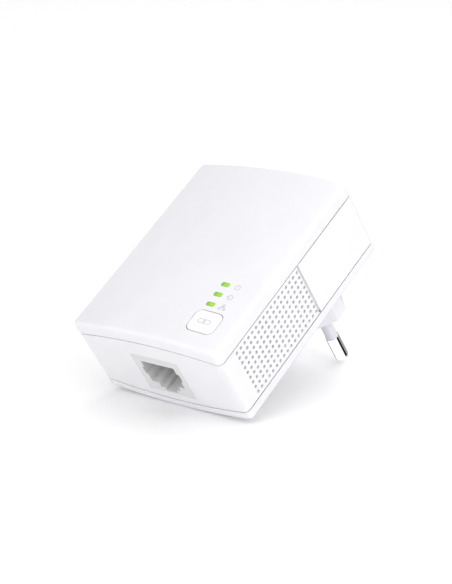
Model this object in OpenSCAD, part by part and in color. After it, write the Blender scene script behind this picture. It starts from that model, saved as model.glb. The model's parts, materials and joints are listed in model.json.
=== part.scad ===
// Compact plug-in powerline adapter with one Ethernet socket.
// Origin: centre of the plug's end face, midway between the two pins.
// +X is right when looking at the front, +Y is the way the pins point, +Z is up.
// Inside the modules, "case" coordinates are used: y = 0 where the front seam meets the
// side walls, z = 0 at the bottom end. at_plug() moves them to the origin above.

/* [Case] */
// Width of the case
body_w = 52; // [50:0.5:64]
// Height of the case, bottom end to top end
body_h = 65; // [62:0.5:80]
// Depth of the case without its plug
body_d = 29; // [28:0.5:36]
// Wall thickness of the covers
wall = 1.6; // [1.2:0.1:2]
// Corner radius of the case seen from the front
corner_r = 1.6; // [1.6:0.2:3]
// Depth of the front cover's side, front seam to front face
front_rim = 4; // [3:0.1:6]
// Depth of the back cover's side, back seam to back face
back_rim = 2.9; // [2.6:0.1:5]
// Bulge of the front face across its width
face_arch = 1.9; // [1:0.05:3]
// Bulge of the back face across its width
back_arch = 2.1; // [1:0.05:3]
// Rounding of the front cover's edge
front_edge_r = 1.25; // [1.05:0.1:1.35]
// Rounding of the back cover's edge
back_edge_r = 1.3; // [1.3:0.1:1.5]
// Visible gap between two covers
seam_gap = 0.35; // [0.1:0.05:0.5]
// How far the middle shell stands back from the covers
shell_inset = 0.1; // [0:0.05:0.4]
// Length of the tongues that locate the covers
lip_l = 1.2; // [0.8:0.1:1.8]
// Wall thickness of the middle shell
shell_wall = 1.8; // [1.5:0.1:2.2]
// Thickness of the tongues
lip_t = 0.9; // [0.6:0.1:1.2]
// Clearance between a tongue and its cover
lip_clear = 0.1; // [0.05:0.05:0.2]

/* [Side panels] */
// Height where the plain trim band starts
band_z = 37.2; // [30:0.1:42]
// Thickness of the trim band
band_t = 1; // [0.6:0.1:1.1]
// Groove under the trim band's lower edge
band_gap = 0.5; // [0.1:0.05:0.6]

/* [Grille] */
// Holes in a row, front to back
grille_cols = 9; // [5:1:9]
// Rows of holes, bottom to top
grille_rows = 17; // [8:1:17]
// Distance between neighbouring holes
grille_pitch = 1.83; // [1.6:0.01:1.85]
// Diameter of one hole
grille_d = 1; // [0.6:0.05:1.2]
// Height of the lowest row
grille_z = 6.5; // [5:0.1:8]

/* [Plug] */
// Height of the plug's centre above the bottom end
plug_z = 50; // [46:0.5:52]
// Distance from the front seam plane to the plug's end face
plug_reach = 35; // [33:0.1:40]
// Width of the plug body
plug_w = 35.3; // [34:0.1:36]
// Height of the plug body
plug_h = 13.7; // [13:0.1:14.5]
// Length of the plug body's long flats
plug_flat = 26.1; // [24:0.1:27]
// Chamfer round the plug's end face
plug_chamfer = 0.8; // [0.3:0.1:1.2]
// Thickness of the plug's end wall
plug_end_t = 4; // [3:0.5:6]
// Distance between the two pins
pin_pitch = 18.6; // [17.5:0.1:19]
// Diameter of a pin
pin_d = 4; // [3.9:0.05:4.8]
// Length of a pin beyond the plug's end face
pin_l = 19; // [18:0.5:20]
// Length of the insulating sleeve
sleeve_l = 10; // [9:0.5:11]
// Outer diameter of the sleeve
sleeve_d = 3.6; // [3.3:0.05:3.65]
// Diameter of the pin inside its sleeve
pin_core_d = 2.9; // [2.4:0.1:3]
// Rounding of the pin's tip
pin_tip_r = 1.2; // [0.8:0.1:1.6]
// Diameter of the flange that holds a pin in the plug
pin_flange_d = 6; // [5:0.1:7]
// Thickness of that flange
pin_flange_t = 1.2; // [0.8:0.1:2]
// Diameter of the pin's inner end
pin_tail_d = 2.4; // [2:0.1:2.8]

/* [Ethernet socket] */
// Width of the socket's housing
jack_w = 16.8; // [16:0.1:18]
// Depth of the socket's housing, board to back
jack_d = 13.7; // [13:0.1:13.8]
// Length of the socket's housing
jack_l = 18; // [17:0.5:19]
// Width of the opening for the plug
socket_w = 12; // [11.8:0.1:12.4]
// Depth of the opening, contact side to latch side
socket_d = 8; // [7.6:0.1:8.4]
// Length of the space that the plug enters
socket_l = 14.5; // [13.5:0.5:15.5]
// Depth of the socket's wall on the board side
socket_wall = 2.4; // [2.2:0.1:2.6]
// Width of the step for the plug's latch
latch_w = 7.2; // [6.4:0.1:8]
// Depth of that step
latch_d = 1.6; // [1.2:0.1:2]
// Width of the latch's own slot
latch_slot_w = 4.2; // [3.6:0.1:5]
// Depth of the latch's own slot
latch_slot_d = 1.2; // [0.8:0.1:1.3]
// Distance between two contacts
contact_pitch = 1.02; // [1:0.01:1.05]
// Width of one contact
contact_w = 0.4; // [0.3:0.05:0.5]

/* [Controls] */
// Distance of the button's centre from the middle
button_x = 16.45; // [14:0.05:17]
// Height of the button's centre
button_z = 9; // [8.5:0.1:10]
// Width of the button
button_w = 8.6; // [6:0.1:9]
// Height of the button
button_h = 7; // [5:0.1:7.2]
// Corner radius of the button
button_r = 1.8; // [1:0.1:2.4]
// Gap round the button
button_gap = 0.2; // [0.1:0.05:0.3]
// How far the button stands out of the face
button_proud = 0.1; // [0:0.05:0.4]
// Travel of the button
button_travel = 0.3; // [0.2:0.05:0.5]
// Distance of the lamps from the middle
lamp_x = 14.45; // [13:0.05:16]
// Height of the lowest lamp
lamp_z = 14.8; // [14.6:0.1:17]
// Distance between two lamps
lamp_pitch = 3.6; // [3:0.05:4]
// Width of a lamp window
lamp_w = 2.6; // [2:0.1:3.4]
// Height of a lamp window
lamp_h = 1.3; // [1:0.05:1.8]

/* [Switch] */
// Width of the push switch
switch_w = 6; // [4.5:0.5:6.5]
// Height of the push switch off its board
switch_h = 3.5; // [3:0.1:3.8]
// Diameter of the switch's plunger
plunger_d = 3.5; // [2.5:0.1:3.6]
// How far the plunger stands out of the switch
plunger_proud = 0.5; // [0.4:0.1:0.6]
// Clearance round the plunger
plunger_clear = 0.05; // [0.02:0.01:0.1]

/* [Boards] */
// Thickness of both boards
board_t = 1.6; // [1:0.2:1.6]
// Front face of the main board behind the front seam
main_board_y = 2.1; // [1.8:0.1:2.4]
// Space between the boards
board_space = 13.3; // [13:0.1:13.5]
// Gap between the boards and the case's walls
board_clear = 1; // [0.8:0.1:1.4]

/* [Screws] */
// Diameter of the case screws
case_screw_d = 2.2; // [2:0.1:2.7]
// Length of the case screws under the head
case_screw_l = 9; // [7:0.5:10]
// Head diameter of the case screws
case_head_d = 3.8; // [3.4:0.1:4.2]
// Diameter of the bosses for the case screws
case_boss_d = 5.8; // [5:0.1:6.4]
// Length of those bosses
case_boss_l = 10; // [9:0.5:12]
// Diameter of the board screws
board_screw_d = 1.8; // [1.6:0.1:2]
// Length of the board screws under the head
board_screw_l = 4.6; // [4:0.2:5]
// Head diameter of the board screws
board_head_d = 3.4; // [3:0.1:3.6]
// Diameter of the posts that carry the main board
board_post_d = 4.4; // [3.6:0.1:5]
// Thickness of all screw heads
screw_head_t = 1.2; // [0.8:0.1:1.3]

/* [Rating label] */
// Width of the label
label_w = 24; // [18:1:28]
// Height of the label
label_h = 20; // [14:1:22]
// Height of its centre above the bottom end
label_z = 22; // [19:0.5:24]
// Thickness of the label
label_t = 0.15; // [0.1:0.05:0.3]

/* [Hidden] */

$fn = 48;
fn_arch = 720;
fn_small = 24;
eps = 0.02;
close_fit = 0.02;
half_w = body_w / 2;

// The arched seams and faces are cylinders about axes parallel to Z.
shell_d = body_d - front_rim - back_rim - face_arch - back_arch;
front_seam_r = (half_w * half_w + face_arch * face_arch) / (2 * face_arch);
back_seam_r = (half_w * half_w + back_arch * back_arch) / (2 * back_arch);
front_axis_y = front_seam_r - face_arch;
back_axis_y = shell_d + back_arch - back_seam_r;
front_r = front_seam_r + front_rim;
back_r = back_seam_r + back_rim;
front_end_y = -front_rim - face_arch;
back_end_y = shell_d + back_arch + back_rim;

function front_y(x, r) = front_axis_y - sqrt(r * r - x * x);
function back_y(x, r) = back_axis_y + sqrt(r * r - x * x);

// Insets of the walls from the outside of the case
shell_inner = shell_inset + shell_wall;
lip_outer = wall + lip_clear;
lip_inner = lip_outer + lip_t;
back_lip_l = min(lip_l, back_rim - wall - lip_clear);
lip_root = 2;
inner_w = body_w - 2 * shell_inner;
grille_y = (shell_d - (grille_cols - 1) * grille_pitch) / 2;
grille_fit = floor((band_z - band_gap - grille_d - grille_z) / grille_pitch) + 1;

// Case screws and the bosses that take them
boss_merge = 0.3;
case_boss_r = case_boss_d / 2;
case_boss_x = half_w - shell_inner - case_boss_r + boss_merge;
case_boss_z0 = shell_inner + case_boss_r - boss_merge;
case_boss_z1 = body_h - case_boss_z0;
case_boss_y = shell_d + 0.6;
case_screw_at = [for (x = [-case_boss_x, case_boss_x], z = [case_boss_z0, case_boss_z1]) [x, z]];
head_recess = 0.3;
head_clear = 0.15;
pilot_spare = 0.4;
case_head_y = back_y(case_boss_x, back_r) - screw_head_t - head_recess;

// Boards
main_back_y = main_board_y + board_t;
power_front_y = main_back_y + board_space;
power_back_y = power_front_y + board_t;
main_inset = shell_inner + board_clear;
power_z0 = jack_l + board_clear;
power_z1 = case_boss_z1 - case_boss_r - board_clear / 2;
power_margin = 3.4;
power_w = inner_w - 2 * power_margin;
post_x = half_w - main_inset - 4.95;
post_z0 = main_inset + 3.95;
post_z1 = body_h - main_inset - 4.5;
post_side_z = 28;
board_screw_at = [[-post_x, post_z0], [-post_x, post_z1], [post_x, post_z1], [post_x, post_side_z]];

// Ledges in the middle shell that carry the power board, and posts that hold it down
ledge_w = 5;
ledge_d = 2.5;
ledge_hold = 1;
ledge_zs = [power_z0 + 6, power_z1 - 4];
press_post_r = 1.3;
press_post_x = power_w / 2 - 3;

// Ethernet socket
jack_y = main_back_y;
jack_z0 = shell_inset + 0.05;
socket_y = jack_y + socket_wall;
side_slot_w = 13.4;
side_slot_y = 2.4;
side_slot_d = 2.8;
side_slot_l = 5;
contact_count = 8;
contact_t = 0.3;
contact_bed = 1.1;
contact_bed_z = 2.7;
contact_bed_w = 8.6;
contact_tip_y = 2.9;
contact_tip_z = 12;
contact_bend_z = 3;
tail_notch_l = 1.4;

// Button, switch and lamps
button_flange_w = 0.7;
button_flange_t = 1;
button_flange_gap = 0.1;
button_post_r = 1.5;
button_post_clear = 0.05;
plunger_r = plunger_d / 2;
plunger_y = main_board_y - switch_h - plunger_proud;
plunger_collar_w = 0.45;
plunger_collar_t = 0.7;
switch_top_t = 0.6;
switch_room = 0.15;
lamp_corner_r = 0.45;
lamp_carrier = 0.35;
led_w = 1.6;
led_t = 0.8;
led_gap = 0.4;

// Mains plug
pin_x = pin_pitch / 2;
boss_wall = 1.8;
clip_base_t = 0.4;
clip_wall = 0.8;
clip_l = 4;
clip_clear = 0.1;

// Rating label
label_r = 1.5;
label_clear = 0.1;

// Parts on the main board: place as x and z, size as width, height off the board, length
lan_at = [0, jack_l + 5];
lan_size = [12.7, 3, 7];
chip_at = [2, 39];
chip_size = [12, 1, 12];
pad_size = [10, 0.4, 10];
spreader_size = [16, 1.4, 15];
memory_at = [-13, 47];
memory_size = [8, 1, 10];
flash_at = [14, 48];
flash_size = [5, 1.5, 4];
crystal_at = [14, 34.5];
crystal_size = [3.2, 1.2, 5];

// Pin header between the boards
header_at = [-11.8, power_z0 + 1.8];
header_size = [10, 2.2, 2.2];
header_pin = 0.5;
header_pitch = 2;

// Parts on the power board, in the same form
lead_r = 0.35;
lead_l = 1.2;
flyback_at = [-12, power_z0 + 12];
bobbin_size = [13, 1.2, 12.4];
bobbin_flange_t = 0.6;
core_size = [13, 9, 6];
core_back = 1.4;
core_leg = 3.6;
core_window = 3;
coil_l = 11;
coil_clear = 0.2;
coil_r = 1.5;
bulk_at = [power_w / 2 - 5.2, power_z0 + 4];
bulk_r = 4;
bulk_l = 13;
can_gap = 0.35;
output_r = 3.15;
output_l = 8;
output_at = [bulk_at[0] - bulk_r - output_r - can_gap, power_z0 + 14.6];
film_at = [0, plug_z + 3.75];
film_size = [13, 9.5, 5.5];
disc_at = [-3, power_z0 + 23];
disc_r = 3.5;
disc_t = 2.6;
varistor_at = [-15.5, power_z0 + 28];
varistor_r = 4;
varistor_t = 3;
fuse_r = 1.6;
fuse_cap_r = 1.8;
fuse_at = [power_w / 2 - ledge_hold - fuse_cap_r - 0.2, power_z0 + 24];
fuse_cap_l = 2;
fuse_l = 10;
fuse_lift = 2.4;
bridge_at = [power_w / 2 - 6.4, power_z0 + 20.4];
bridge_size = [5, 2.4, 4.4];
choke_at = [bridge_at[0] - 8.8, power_z0 + 23];
choke_hole_r = 2.2;
choke_ring_w = 2;
choke_ring_l = 4.5;
choke_wire = 0.7;
choke_lift = 0.9;
choke_split = 1.8;
coupling_at = [output_at[0] - 5.5, power_z0 + 8];
coupling_size = [7.5, 6, 7.5];
coupling_leg_r = 1.8;
coupling_wire = 1.5;
coupling_top_t = 1;
coupling_base_t = 1.4;

// ---- Helpers -------------------------------------------------------------

module at_plug() translate([0, -plug_reach, -plug_z]) children();

// Stands children at a place given as x and z
module at(place) translate([place[0], 0, place[1]]) children();

// Extrudes an outline drawn in x and z from y0 to y1
module along_y(y0, y1) translate([0, y1, 0]) rotate([90, 0, 0]) linear_extrude(y1 - y0) children();

// Extrudes an outline drawn in y and z from x0 to x1
module along_x(x0, x1) translate([x0, 0, 0]) rotate([90, 0, 90]) linear_extrude(x1 - x0) children();

// Turns a solid drawn along +Z so that it points along +Y
module facing_back() rotate([-90, 0, 0]) children();

module rod_y(r, y0, y1) along_y(y0, y1) circle(r);

// Block centred on x, from y and z upwards
module slab(x, y, z, w, d, h) translate([x - w / 2, y, z]) cube([w, d, h]);

// Block centred on a place, from y on
module block(place, y, size) slab(place[0], y, place[1] - size[2] / 2, size[0], size[1], size[2]);

module on_main(place, size) block(place, main_back_y, size);

module on_power(place, size) block(place, power_front_y - size[1], size);

// Stands a round part on the power board, drawn upwards from the board
module from_power(place) at(place) translate([0, power_front_y, 0]) rotate([90, 0, 0]) children();

module round_rect(w, h, r) {
    square([w - 2 * r, h], center = true);
    square([w, h - 2 * r], center = true);
    for (x = [-1, 1], y = [-1, 1])
        translate([x * (w / 2 - r), y * (h / 2 - r)]) circle(r);
}

// Case outline seen from the front, drawn in by an inset
module case_outline(inset) translate([0, body_h / 2])
    round_rect(body_w - 2 * inset, body_h - 2 * inset, max(corner_r - inset, wall / 2));

// Everything behind a front arch, or in front of a back arch
module behind_front(r) translate([0, front_axis_y, -1]) cylinder(r = r, h = body_h + 2, $fn = fn_arch);
module before_back(r) translate([0, back_axis_y, -1]) cylinder(r = r, h = body_h + 2, $fn = fn_arch);

// Outline in x and y of an arched face that meets the sides in a rounded edge
module arched_face(r, edge) {
    centre_x = half_w - edge;
    centre_y = sqrt((r - edge) * (r - edge) - centre_x * centre_x);
    touch_x = centre_x * r / (r - edge);
    intersection() {
        circle(r, $fn = fn_arch);
        translate([-touch_x, r / 2]) square([2 * touch_x, r]);
    }
    translate([-half_w, r / 2]) square([body_w, centre_y - r / 2]);
    for (s = [-1, 1]) translate([s * centre_x, centre_y]) circle(edge);
}

// Solid under an arched face whose edges are all rounded, with +Y outwards and y = 0 on its axis
module arched_block(r, edge) {
    span = 30;
    reach = 14;
    intersection() {
        linear_extrude(body_h) arched_face(r, edge);
        rotate([0, 0, 90 - span / 2]) rotate_extrude(angle = span, $fn = fn_arch) {
            translate([r - reach, 0]) square([reach - edge, body_h]);
            translate([r - reach, edge]) square([reach, body_h - 2 * edge]);
            for (z = [edge, body_h - edge]) translate([r - edge, z]) circle(edge);
        }
        along_y(r - reach, r + 1) case_outline(0);
    }
}

// Ring of the middle shell's tongues
module lip_ring(y0, y1) along_y(y0, y1) difference() {
    case_outline(lip_outer);
    case_outline(lip_inner);
}

module screw(d, l, head_d) {
    slot_w = 0.5;
    slot_l = head_d * 0.6;
    difference() {
        cylinder(d = head_d, h = screw_head_t);
        for (a = [0, 90]) rotate(a)
            translate([-slot_l / 2, -slot_w / 2, screw_head_t / 2]) cube([slot_l, slot_w, screw_head_t]);
    }
    translate([0, 0, -l]) cylinder(d = d, h = l);
}

module button_outline(grow) translate([button_x, button_z])
    round_rect(button_w + 2 * grow, button_h + 2 * grow, button_r + grow);

module lamp_outline(i, grow) translate([lamp_x, lamp_z + i * lamp_pitch])
    round_rect(lamp_w + 2 * grow, lamp_h + 2 * grow, lamp_corner_r + grow);

// The plug body's outline, drawn in by an inset: flats, slants and short ends
module plug_outline(inset) {
    h = plug_h / 2 - inset;
    l = plug_w / 2 - inset;
    slant = plug_flat / 2 + plug_h / 2 - inset * sqrt(2);
    translate([0, plug_z]) polygon([[slant - h, h], [l, slant - l], [l, l - slant], [slant - h, -h],
        [h - slant, -h], [-l, l - slant], [-l, slant - l], [h - slant, h]]);
}

// ---- Case ----------------------------------------------------------------

module front_cover() at_plug() color([0.96, 0.96, 0.97]) difference() {
    union() {
        difference() {
            translate([0, front_axis_y, 0]) mirror([0, 1, 0]) arched_block(front_r, front_edge_r);
            behind_front(front_seam_r);
            intersection() {
                behind_front(front_r - wall);
                along_y(front_end_y, 1) case_outline(wall);
            }
        }
        intersection() {
            behind_front(front_r - wall / 2);
            for (p = board_screw_at) at(p) rod_y(board_post_d / 2, front_end_y, main_board_y);
        }
    }
    for (p = board_screw_at) at(p)
        rod_y(board_screw_d / 2 + close_fit, main_back_y - board_screw_l - pilot_spare, main_board_y + eps);
    along_y(front_end_y - 1, 0) button_outline(button_gap);
    for (i = [0 : 2]) along_y(front_end_y - 1, 0) lamp_outline(i, close_fit);
}

// Everything from the trim band's lower edge upwards, or from a gap below it
module band_zone(gap) translate([-body_w, band_z - gap]) square([2 * body_w, body_h]);

// Outline of the middle shell's outside, stepped back behind the trim band
module shell_outline() difference() {
    case_outline(shell_inset);
    difference() {
        band_zone(band_gap);
        case_outline(band_t);
    }
}

module grille_holes() translate([grille_y, grille_z])
    for (c = [0 : grille_cols - 1], r = [0 : min(grille_rows, grille_fit) - 1])
        translate([c * grille_pitch, r * grille_pitch]) circle(d = grille_d, $fn = fn_small);

module mid_shell() at_plug() color([0.95, 0.95, 0.965]) difference() {
    union() {
        intersection() {
            along_y(-face_arch, shell_d + back_arch) difference() {
                shell_outline();
                case_outline(shell_inner);
            }
            behind_front(front_seam_r - seam_gap);
            before_back(back_seam_r - seam_gap);
        }
        intersection() {
            lip_ring(-face_arch - lip_l, lip_root);
            behind_front(front_seam_r + lip_l);
        }
        intersection() {
            lip_ring(shell_d - lip_root, shell_d + back_arch + back_lip_l);
            before_back(back_seam_r + back_lip_l);
        }
        for (p = case_screw_at) at(p) rod_y(case_boss_r, case_boss_y - case_boss_l, case_boss_y);
        for (s = [-1, 1], z = ledge_zs) {
            ledge_l = power_margin + ledge_hold + boss_merge;
            slab(s * ((inner_w - ledge_l) / 2 + boss_merge), power_front_y - ledge_d, z - ledge_w / 2,
                ledge_l, ledge_d, ledge_w);
        }
    }
    for (p = case_screw_at) at(p)
        rod_y(case_screw_d / 2 + close_fit, case_head_y - case_screw_l - pilot_spare, case_boss_y + eps);
    along_x(half_w - shell_inner - 1, half_w + 1) grille_holes();
    along_x(-half_w - 1, -half_w + shell_inner + 1) grille_holes();
    slab(0, jack_y - close_fit, -1, jack_w + 2 * close_fit, jack_d + 2 * close_fit, jack_l);
}

module trim_band() at_plug() color([0.97, 0.97, 0.98]) intersection() {
    along_y(-face_arch, shell_d + back_arch) intersection() {
        difference() {
            case_outline(0);
            case_outline(band_t);
        }
        band_zone(0);
    }
    behind_front(front_seam_r - seam_gap);
    before_back(back_seam_r - seam_gap);
}

// Sleeves round the case screws and posts on the power board, kept clear of the tongues
module back_posts() intersection() {
    union() {
        for (p = case_screw_at) at(p) rod_y(case_boss_r, case_boss_y + close_fit, back_end_y);
        for (s = [-1, 1], z = ledge_zs) at([s * press_post_x, z])
            rod_y(press_post_r, power_back_y + close_fit, back_end_y);
    }
    before_back(back_r - wall / 2);
    along_y(power_back_y, back_end_y) case_outline(lip_inner + lip_clear);
}

module back_cover() at_plug() color([0.95, 0.95, 0.965]) difference() {
    union() {
        difference() {
            translate([0, back_axis_y, 0]) arched_block(back_r, back_edge_r);
            before_back(back_seam_r);
            intersection() {
                before_back(back_r - wall);
                along_y(shell_d - 1, back_end_y) case_outline(wall);
            }
        }
        difference() {
            union() {
                along_y(shell_d + back_rim, plug_reach - plug_chamfer) plug_outline(0);
                hull() {
                    along_y(plug_reach - plug_chamfer - eps, plug_reach - plug_chamfer) plug_outline(0);
                    along_y(plug_reach - eps, plug_reach) plug_outline(plug_chamfer);
                }
            }
            before_back(back_r - wall);
        }
        back_posts();
    }
    along_y(shell_d + 1, plug_reach - plug_end_t) plug_outline(boss_wall);
    for (s = [-1, 1]) at([s * pin_x, plug_z])
        rod_y(pin_d / 2 + close_fit, plug_reach - plug_end_t - eps, plug_reach + eps);
    for (p = case_screw_at) at(p) {
        rod_y(case_screw_d / 2 + head_clear, shell_d - 1, back_end_y);
        rod_y(case_head_d / 2 + head_clear, case_head_y, back_end_y);
    }
    difference() {
        along_y(shell_d, plug_reach) label_outline(label_clear);
        before_back(back_r - label_t);
    }
}

module label_outline(grow) translate([0, label_z])
    round_rect(label_w + 2 * grow, label_h + 2 * grow, label_r + grow);

module rating_label() at_plug() color([0.82, 0.83, 0.85]) intersection() {
    along_y(shell_d, plug_reach) label_outline(0);
    difference() {
        before_back(back_r);
        before_back(back_r - label_t);
    }
}

// ---- Controls ------------------------------------------------------------

module pair_button() at_plug() color([0.98, 0.98, 0.98]) {
    flange_r = front_r - wall - button_flange_gap;
    middle_r = flange_r - button_flange_t / 2;
    intersection() {
        along_y(front_end_y - 1, 0) button_outline(0);
        difference() {
            behind_front(front_r + button_proud);
            behind_front(middle_r);
        }
    }
    intersection() {
        along_y(front_end_y, 1) button_outline(button_flange_w);
        difference() {
            behind_front(flange_r);
            behind_front(flange_r - button_flange_t);
        }
    }
    at([button_x, button_z])
        rod_y(button_post_r, front_y(button_x, middle_r), plunger_y - button_post_clear);
}

module light_pipe() at_plug() color([0.55, 0.78, 0.2]) {
    carrier_z = lamp_z - lamp_h / 2 - lamp_carrier;
    intersection() {
        for (i = [0 : 2]) along_y(front_end_y - 1, -1) lamp_outline(i, 0);
        behind_front(front_r);
    }
    intersection() {
        slab(lamp_x, front_end_y, carrier_z, lamp_w + 2 * lamp_carrier,
            main_board_y - led_t - led_gap - front_end_y, 2 * lamp_pitch + lamp_h + 2 * lamp_carrier);
        behind_front(front_r - wall);
    }
}

module status_led(i) at_plug() color([0.9, 0.9, 0.78])
    block([lamp_x, lamp_z + i * lamp_pitch], main_board_y - led_t, [led_w, led_t, led_w]);

module pair_switch() at_plug() color([0.16, 0.16, 0.17]) difference() {
    top_y = main_board_y - switch_h;
    block([button_x, button_z], top_y, [switch_w, switch_h, switch_w]);
    at([button_x, button_z]) {
        rod_y(plunger_r + plunger_clear, top_y - eps, top_y + switch_top_t + eps);
        rod_y(plunger_r + plunger_collar_w + switch_room, top_y + switch_top_t,
            top_y + switch_top_t + button_post_clear + plunger_collar_t + button_travel + switch_room);
    }
}

module switch_plunger() at_plug() color([0.1, 0.1, 0.1]) at([button_x, button_z]) {
    collar_y = main_board_y - switch_h + switch_top_t + button_post_clear;
    rod_y(plunger_r, plunger_y, collar_y + eps);
    rod_y(plunger_r + plunger_collar_w, collar_y, collar_y + plunger_collar_t);
}

// ---- Boards and the parts on the main board --------------------------------

module main_board() at_plug() color([0.1, 0.36, 0.2]) along_y(main_board_y, main_back_y) difference() {
    translate([-half_w + main_inset, main_inset]) square([body_w - 2 * main_inset, body_h - 2 * main_inset]);
    for (p = board_screw_at) translate(p) circle(board_screw_d / 2 + head_clear);
}

module power_board() at_plug() color([0.14, 0.4, 0.22])
    slab(0, power_front_y, power_z0, power_w, board_t, power_z1 - power_z0);

module jack_housing() at_plug() color([0.86, 0.87, 0.86]) difference() {
    latch_y = socket_y + socket_d;
    cut_l = jack_z0 + socket_l + 1;
    slab(0, jack_y, jack_z0, jack_w, jack_d, jack_l - jack_z0);
    slab(0, socket_y, -1, socket_w, socket_d, cut_l);
    slab(0, socket_y + side_slot_y, -1, side_slot_w, side_slot_d, side_slot_l + 1);
    slab(0, latch_y - eps, -1, latch_w, latch_d + eps, cut_l);
    slab(0, latch_y + latch_d - eps, -1, latch_slot_w, latch_slot_d + eps, cut_l);
    slab(0, jack_y + contact_bed, contact_bed_z, contact_bed_w, socket_wall - contact_bed + eps, jack_l);
    slab(0, jack_y - 1, jack_l - tail_notch_l, contact_bed_w, contact_bed + 1 + eps, jack_l);
}

// Eight spring contacts, each a bent strip that slopes back into the opening
module jack_contacts() at_plug() color([0.85, 0.7, 0.35]) {
    t = contact_t;
    bed_y = jack_y + contact_bed + eps;
    tail_z = jack_l - tail_notch_l / 2;
    tip_y = socket_y + contact_tip_y;
    bend_z = contact_bend_z;
    middle = (contact_count - 1) / 2;
    for (i = [-middle : middle])
        along_x(i * contact_pitch - contact_w / 2, i * contact_pitch + contact_w / 2)
            polygon([[jack_y, tail_z], [jack_y, tail_z - t], [bed_y, tail_z - t], [bed_y, bend_z + 2 * t],
                [bed_y + 3 * t, bend_z], [bed_y + 4 * t, bend_z + t / 2], [tip_y, contact_tip_z],
                [tip_y - t, contact_tip_z + t / 2], [bed_y + 4 * t - t / 2, bend_z + 2 * t],
                [bed_y + t, bend_z + 3 * t], [bed_y + t, tail_z]]);
}

module lan_transformer() at_plug() color([0.13, 0.13, 0.14]) on_main(lan_at, lan_size);

module powerline_chip() at_plug() color([0.12, 0.12, 0.13]) on_main(chip_at, chip_size);

module thermal_pad() at_plug() color([0.6, 0.66, 0.72])
    block(chip_at, main_back_y + chip_size[1], pad_size);

module heat_spreader() at_plug() color([0.75, 0.76, 0.78])
    block(chip_at, main_back_y + chip_size[1] + pad_size[1], spreader_size);

module memory_chip() at_plug() color([0.12, 0.12, 0.13]) on_main(memory_at, memory_size);

module flash_chip() at_plug() color([0.13, 0.13, 0.14]) on_main(flash_at, flash_size);

module crystal() at_plug() color([0.8, 0.8, 0.82]) on_main(crystal_at, crystal_size);

module header_places() for (i = [-2 : 2])
    translate([header_at[0] + i * header_pitch, header_at[1]]) children();

module header_strip() at_plug() color([0.1, 0.1, 0.1]) difference() {
    on_main(header_at, header_size);
    along_y(main_back_y - 1, main_back_y + header_size[1] + 1)
        header_places() square(header_pin + 2 * close_fit, center = true);
}

module header_pins() at_plug() color([0.85, 0.72, 0.4]) along_y(main_back_y, power_front_y)
    header_places() square(header_pin, center = true);

// ---- Parts on the power board, pointing to the front -------------------------

module flyback_core() at_plug() color([0.2, 0.2, 0.22]) difference() {
    front = power_front_y - bobbin_size[1] - core_size[1];
    block(flyback_at, front, core_size);
    for (s = [-1, 1])
        block(flyback_at + [s * (core_leg + core_window) / 2, 0], front + core_back,
            [core_window, core_size[1] - 2 * core_back, core_size[2] + 2]);
}

module flyback_bobbin() at_plug() color([0.1, 0.1, 0.1]) {
    flange_h = core_size[1] - core_back;
    on_power(flyback_at, bobbin_size);
    for (s = [-1, 1])
        block(flyback_at + [0, s * (coil_l + bobbin_flange_t) / 2], power_front_y - bobbin_size[1] - flange_h,
            [core_leg + 2 * core_window - 2 * coil_clear, flange_h, bobbin_flange_t]);
}

module flyback_coil() at_plug() color([0.9, 0.75, 0.2])
    at(flyback_at) translate([0, power_front_y - bobbin_size[1] - core_size[1] + core_back + coil_clear, 0])
        facing_back() linear_extrude(core_size[1] - 2 * core_back - 2 * coil_clear) difference() {
            round_rect(core_leg + 2 * core_window - 2 * coil_clear, coil_l, coil_r);
            square([core_leg + coil_clear, core_size[2] + coil_clear], center = true);
        }

// Electrolytic capacitor with its crimped groove, standing on its leads
module can_capacitor(r, l) {
    groove_r = 0.45;
    rotate_extrude() difference() {
        square([r, l]);
        translate([r + groove_r / 3, l - 4 * groove_r]) circle(groove_r, $fn = fn_small);
    }
    for (s = [-1, 1]) translate([s * r * 0.4, 0, -lead_l]) cylinder(r = lead_r, h = lead_l + eps);
}

module bulk_capacitor() at_plug() color([0.12, 0.16, 0.3])
    at(bulk_at) translate([0, power_front_y - bulk_r - eps, 0]) can_capacitor(bulk_r, bulk_l);

module output_capacitor() at_plug() color([0.15, 0.18, 0.28])
    from_power(output_at) translate([0, 0, lead_l]) can_capacitor(output_r, output_l);

module film_capacitor() at_plug() color([0.75, 0.68, 0.3]) on_power(film_at, film_size);

// Disc on edge with two leads into the board
module disc_part(place, r, t) at(place) translate([0, power_front_y - r - lead_l, 0]) {
    rotate([0, 90, 0]) cylinder(r = r, h = t, center = true);
    for (s = [-1, 1]) translate([0, 0, s * r * 0.6]) rod_y(lead_r, 0, r + lead_l);
}

module disc_capacitor() at_plug() color([0.15, 0.35, 0.65]) disc_part(disc_at, disc_r, disc_t);

module varistor() at_plug() color([0.7, 0.35, 0.12]) disc_part(varistor_at, varistor_r, varistor_t);

module fuse() at_plug() color([0.8, 0.78, 0.72]) at(fuse_at) translate([0, power_front_y - fuse_lift, 0]) {
    cylinder(r = fuse_r, h = fuse_l);
    for (z = [0, fuse_l - fuse_cap_l]) translate([0, 0, z]) {
        cylinder(r = fuse_cap_r, h = fuse_cap_l);
        translate([0, 0, fuse_cap_l / 2]) rod_y(lead_r, 0, fuse_lift);
    }
}

module bridge_rectifier() at_plug() color([0.11, 0.11, 0.12]) on_power(bridge_at, bridge_size);

module choke_core() at_plug() color([0.25, 0.27, 0.25])
    from_power(choke_at) translate([0, 0, choke_lift]) rotate_extrude()
        translate([choke_hole_r, 0]) square([choke_ring_w, choke_ring_l]);

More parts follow.
